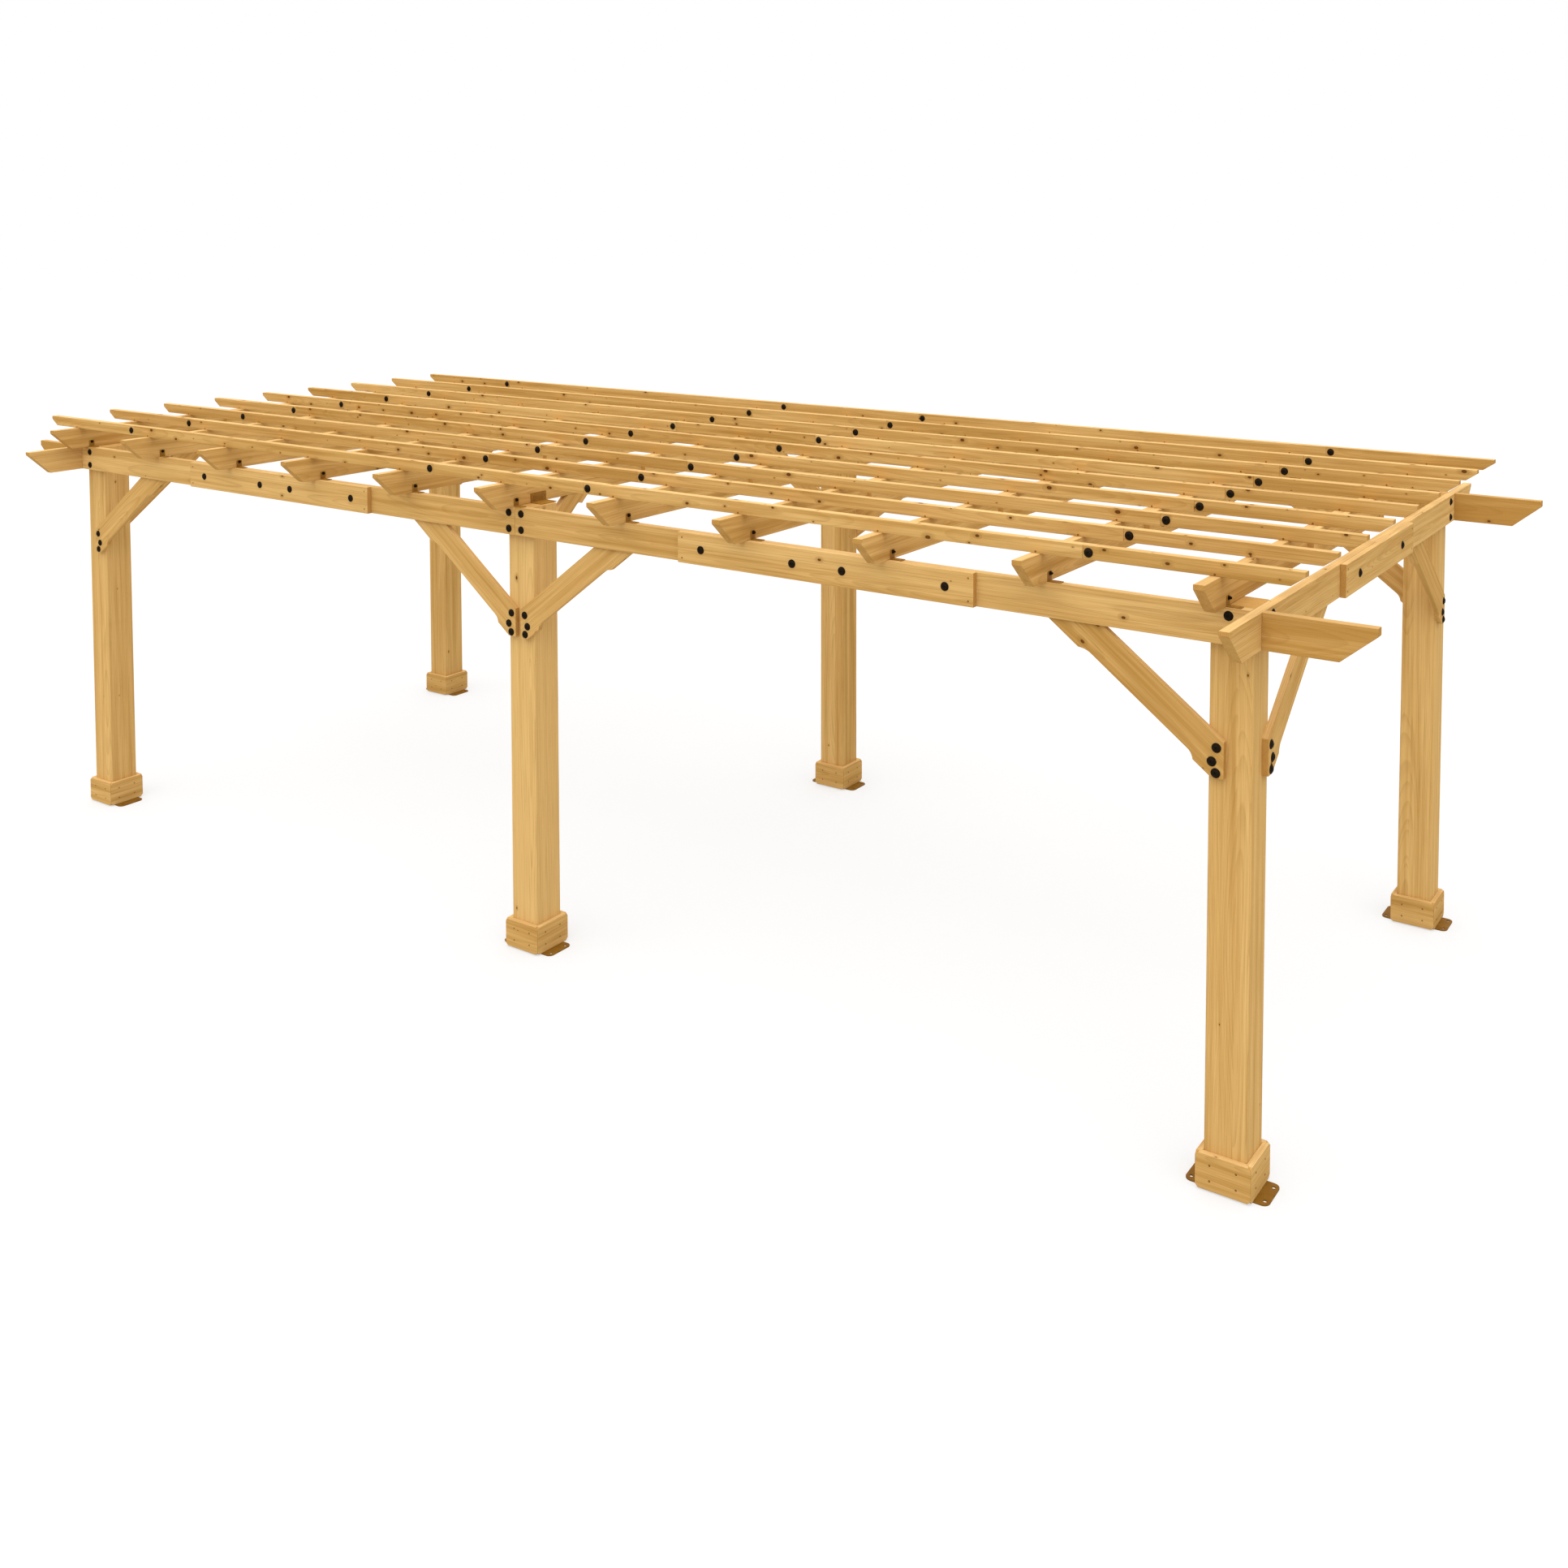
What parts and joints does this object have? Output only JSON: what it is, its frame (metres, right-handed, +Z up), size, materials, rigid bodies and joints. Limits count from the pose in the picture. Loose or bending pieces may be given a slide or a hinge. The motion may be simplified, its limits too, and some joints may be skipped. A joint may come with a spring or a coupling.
{
  "type": "wooden pergola",
  "caption": "Free-standing rectangular timber pergola: square posts on steel foot plates, spliced beams, coved knee braces, slant-ended rafters and lapped purlins as an open roof.",
  "frame": {"origin": "centre of the footprint on the floor, under the undersides of the foot plates", "axes": "+X along the long side to the right, +Y from the front to the back, +Z up"},
  "size_m": [7.422, 3.282, 2.157],
  "materials": {
    "stained_softwood": "planed softwood with a honey cedar stain, satin",
    "bronze_steel": "brown bronze powder coat"
  },
  "bodies": {
    "root": {"post_front_left": "stained_softwood", "post_front_mid": "stained_softwood", "post_front_right": "stained_softwood", "post_back_left": "stained_softwood", "post_back_mid": "stained_softwood", "post_back_right": "stained_softwood", "foot_plate_front_left": "bronze_steel", "foot_plate_front_mid": "bronze_steel", "foot_plate_front_right": "bronze_steel", "foot_plate_back_left": "bronze_steel", "foot_plate_back_mid": "bronze_steel", "foot_plate_back_right": "bronze_steel", "skirt_front_left": "stained_softwood", "skirt_front_mid": "stained_softwood", "skirt_front_right": "stained_softwood", "skirt_back_left": "stained_softwood", "skirt_back_mid": "stained_softwood", "skirt_back_right": "stained_softwood", "front_beam_outer_boards": "stained_softwood", "front_beam_inner_boards": "stained_softwood", "back_beam_outer_boards": "stained_softwood", "back_beam_inner_boards": "stained_softwood", "front_splice_plates": "stained_softwood", "back_splice_plates": "stained_softwood", "left_end_beam": "stained_softwood", "right_end_beam": "stained_softwood", "left_end_splice_plate": "stained_softwood", "right_end_splice_plate": "stained_softwood", "left_beam_tails": "stained_softwood", "right_beam_tails": "stained_softwood", "front_knee_braces": "stained_softwood", "back_knee_braces": "stained_softwood", "left_knee_braces": "stained_softwood", "right_knee_braces": "stained_softwood", "rafters": "stained_softwood", "rafter_splice_plates": "stained_softwood", "purlin_left_ends": "stained_softwood", "purlin_left_lengths": "stained_softwood", "purlin_centres": "stained_softwood", "purlin_right_lengths": "stained_softwood", "purlin_right_ends": "stained_softwood", "front_rafter_brackets": "bronze_steel", "back_rafter_brackets": "bronze_steel", "post_angles": "bronze_steel"}
  },
  "joints": []
}
